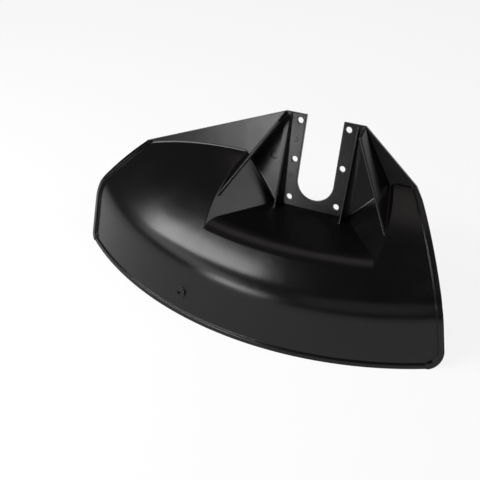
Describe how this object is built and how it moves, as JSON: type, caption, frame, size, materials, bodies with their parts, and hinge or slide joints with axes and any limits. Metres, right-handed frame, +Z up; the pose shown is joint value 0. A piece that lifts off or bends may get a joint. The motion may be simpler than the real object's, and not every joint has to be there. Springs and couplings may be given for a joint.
{
  "type": "trimmer blade guard",
  "caption": "Black moulded blade guard: domed deck with a flared skirt, upright back wall with side gussets, and a leaning plate with a U-slot and screw holes for the shaft clamp.",
  "frame": {"origin": "middle of the centre pair of screw holes, on the plate face that looks at the operator", "axes": "+X to the operator's right, +Y forward away from the operator, +Z up, square to the plane of the rim; the plate leans back 19.1 degrees from upright"},
  "size_m": [0.4055, 0.1678, 0.1644],
  "materials": {
    "black_plastic": "semi-gloss injection-moulded plastic"
  },
  "bodies": {
    "root": {"blade_guard": "black_plastic"}
  },
  "joints": []
}
